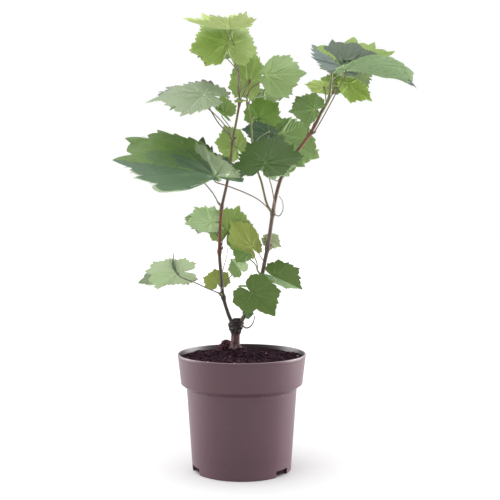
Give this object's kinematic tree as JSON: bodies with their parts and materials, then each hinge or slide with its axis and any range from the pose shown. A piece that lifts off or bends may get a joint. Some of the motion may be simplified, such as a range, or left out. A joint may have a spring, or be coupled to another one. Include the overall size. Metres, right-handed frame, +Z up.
{
  "type": "potted grapevine",
  "caption": "Young grapevine in a round nursery pot: short knobbly trunk, thin upright canes and broad toothed leaves on long stalks, over dark soil.",
  "frame": {"origin": "centre of the pot's flat underside, on the ground", "axes": "+Z up, -Y towards the viewer of the picture, +X to the viewer's right"},
  "size_m": [0.3843, 0.2889, 0.6078],
  "materials": {
    "pot": "satin mauve-brown moulded plastic",
    "soil": "dark crumbly bark compost",
    "bark": "rough old bark, dark at the knobbly head",
    "cane": "thin striped bark, grey-brown to red-brown",
    "shoot": "smooth green young wood",
    "leaf": "matt green leaves with paler veins and undersides"
  },
  "bodies": {
    "root": {"pot": "pot", "soil": "soil", "trunk": "bark", "left_cane": "cane", "right_cane": "cane", "middle_shoot": "shoot", "top_left_leaves": "leaf", "left_upper_leaves": "leaf", "left_lit_leaf": "leaf", "left_rear_leaf": "leaf", "big_left_leaf": "leaf", "centre_leaf": "leaf", "middle_top_leaves": "leaf", "rear_left_leaf": "leaf", "rear_middle_leaf": "leaf", "rear_right_leaves": "leaf", "rear_low_leaf": "leaf", "head_sprout": "leaf", "middle_dark_leaf": "leaf", "middle_folded_leaf": "leaf", "right_inner_leaves": "leaf", "right_front_leaf": "leaf", "right_outer_leaf": "leaf", "right_top_leaves": "leaf", "left_middle_leaves": "leaf", "low_left_leaves": "leaf", "low_left_small_leaf": "leaf", "low_right_leaves": "leaf", "low_middle_leaves": "leaf", "right_small_leaf": "leaf"}
  },
  "joints": []
}
